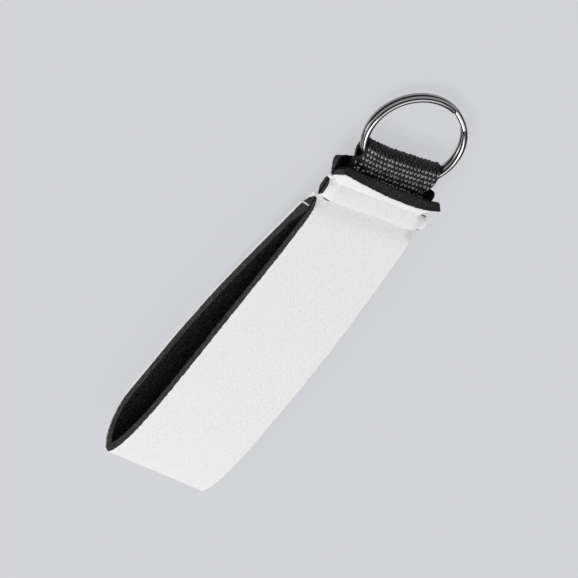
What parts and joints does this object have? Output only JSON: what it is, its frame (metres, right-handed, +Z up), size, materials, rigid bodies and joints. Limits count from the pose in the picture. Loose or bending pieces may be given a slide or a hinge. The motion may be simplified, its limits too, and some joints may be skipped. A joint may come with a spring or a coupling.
{
  "type": "neoprene wristlet keychain",
  "caption": "Wrist loop of white-faced neoprene, stitched across its ends into flared lips, with a black webbing tab that holds a split key ring.",
  "frame": {"origin": "centre of the bounding box on the surface that the keychain lies on", "axes": "+Y from the fold of the wrist loop to the key ring, +X across the strip, +Z up from the surface it lies on"},
  "size_m": [0.0332, 0.1508, 0.0171],
  "materials": {
    "white_neoprene": "matt white jersey knit over charcoal foam, with a black fleece lining",
    "black_webbing": "woven, slightly glossy yarn",
    "nickel_ring": "polished nickel plate"
  },
  "bodies": {
    "band": {"neoprene_band": "white_neoprene", "webbing_tab": "black_webbing"},
    "ring": {"split_ring": "nickel_ring"}
  },
  "joints": [
    {"name": "ring_swing", "type": "hinge", "parent": "band", "child": "ring", "pos_m": [0, 0.04655, 0.00693], "axis": [1, 0, 0], "range_deg": [-50, 50], "deforming": ["webbing_tab"]}
  ]
}
